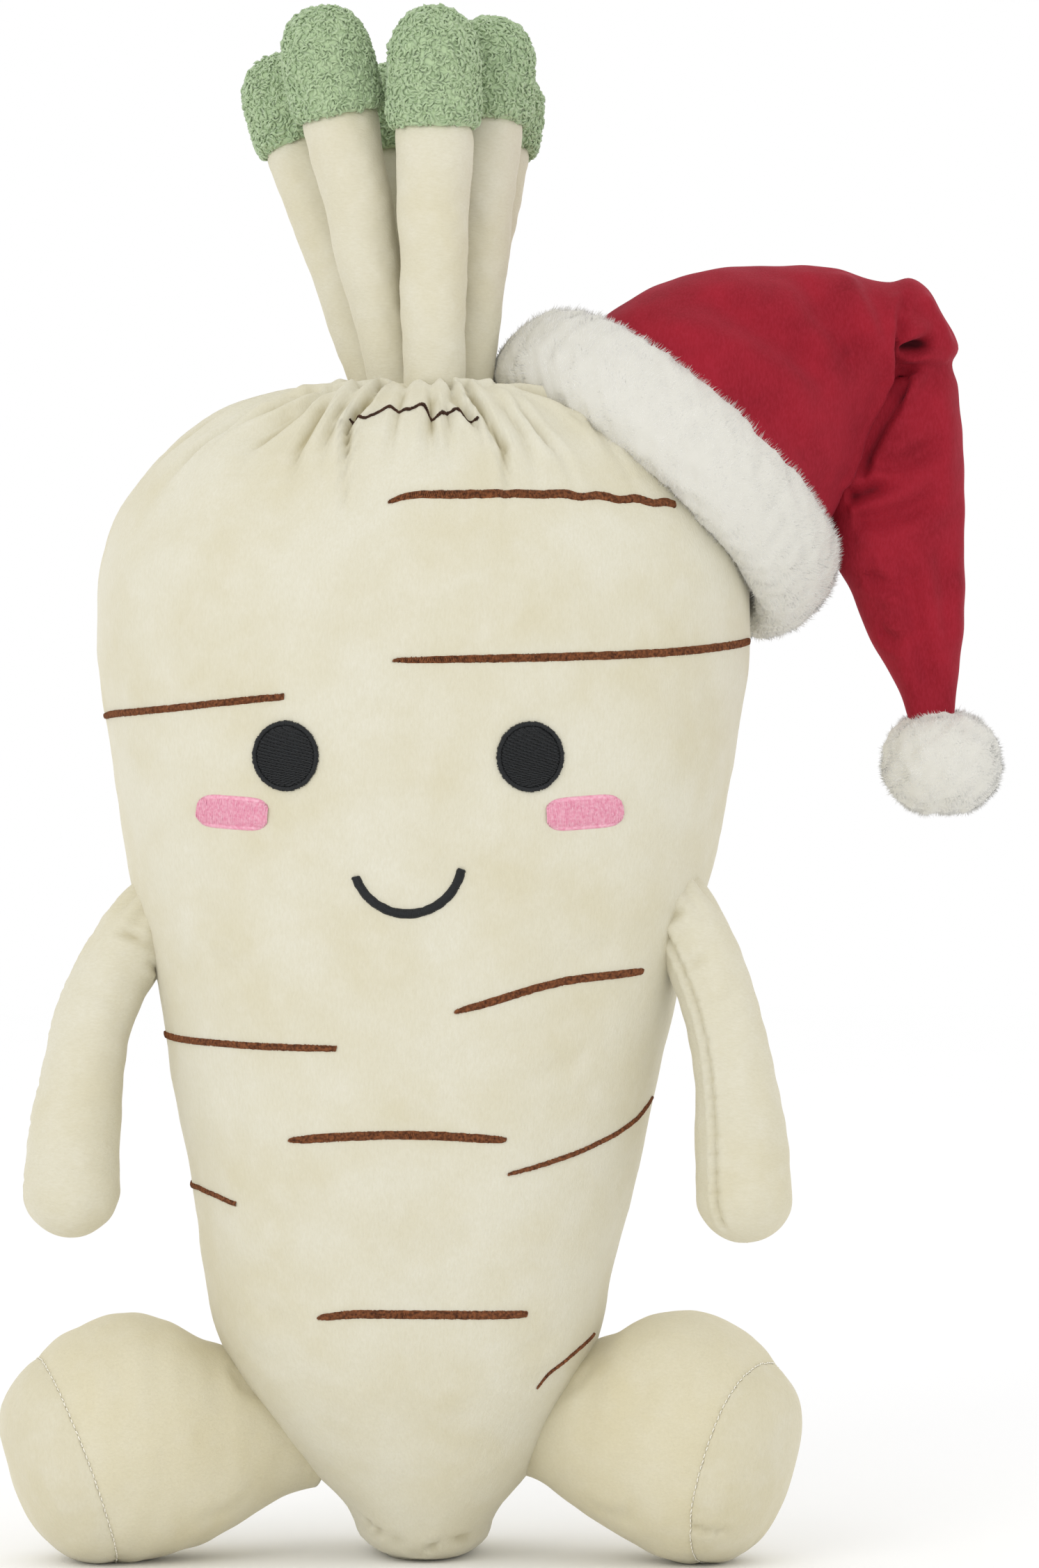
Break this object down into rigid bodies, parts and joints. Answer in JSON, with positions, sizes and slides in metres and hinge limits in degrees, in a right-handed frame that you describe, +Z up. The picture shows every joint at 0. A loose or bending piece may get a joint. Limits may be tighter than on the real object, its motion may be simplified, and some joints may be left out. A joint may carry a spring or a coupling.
{
  "type": "stuffed toy parsnip",
  "caption": "Sitting plush toy shaped like a parsnip, with hanging arms, splayed legs, stems with curly ends, a stitched face and a fur-trimmed hat.",
  "frame": {"origin": "on the floor, in the front-to-back plane through the middle of the neck, on the flat spot under the body that the toy sits on", "axes": "+Z up, through the neck; -Y the way the face looks; +X to the right as the face is looked at"},
  "size_m": [0.4318, 0.2077, 0.6663],
  "materials": {
    "body": "cream short-pile velboa",
    "stems": "cream short-pile velboa",
    "limbs": "cream short-pile velboa",
    "stem_tips": "green curly sherpa pile",
    "black_stitching": "black rayon satin stitch",
    "pink_stitching": "pink rayon satin stitch",
    "brown_stitching": "brown satin stitch",
    "hat_cloth": "red velour",
    "hat_fur": "white long-pile faux fur"
  },
  "bodies": {
    "root": {"body": "body", "stem_left": "stems", "stem_front_left": "stems", "stem_front": "stems", "stem_right": "stems", "stem_back_right": "stems", "stem_back_left": "stems", "stem_tip_left": "stem_tips", "stem_tip_front_left": "stem_tips", "stem_tip_front": "stem_tips", "stem_tip_right": "stem_tips", "stem_tip_back_right": "stem_tips", "stem_tip_back_left": "stem_tips", "arm_left": "limbs", "arm_right": "limbs", "leg_left": "limbs", "leg_right": "limbs", "sole_left": "limbs", "sole_right": "limbs", "eye_left": "black_stitching", "eye_right": "black_stitching", "mouth": "black_stitching", "cheek_left": "pink_stitching", "cheek_right": "pink_stitching", "line_neck": "brown_stitching", "line_brow": "brown_stitching", "line_right_high": "brown_stitching", "line_left_high": "brown_stitching", "line_right_mid": "brown_stitching", "line_left_mid": "brown_stitching", "line_centre": "brown_stitching", "line_right_low": "brown_stitching", "line_left_low": "brown_stitching", "line_belly": "brown_stitching", "line_right_foot": "brown_stitching", "hat_brim": "hat_fur", "hat_cloth": "hat_cloth", "hat_pompom": "hat_fur"}
  },
  "joints": []
}
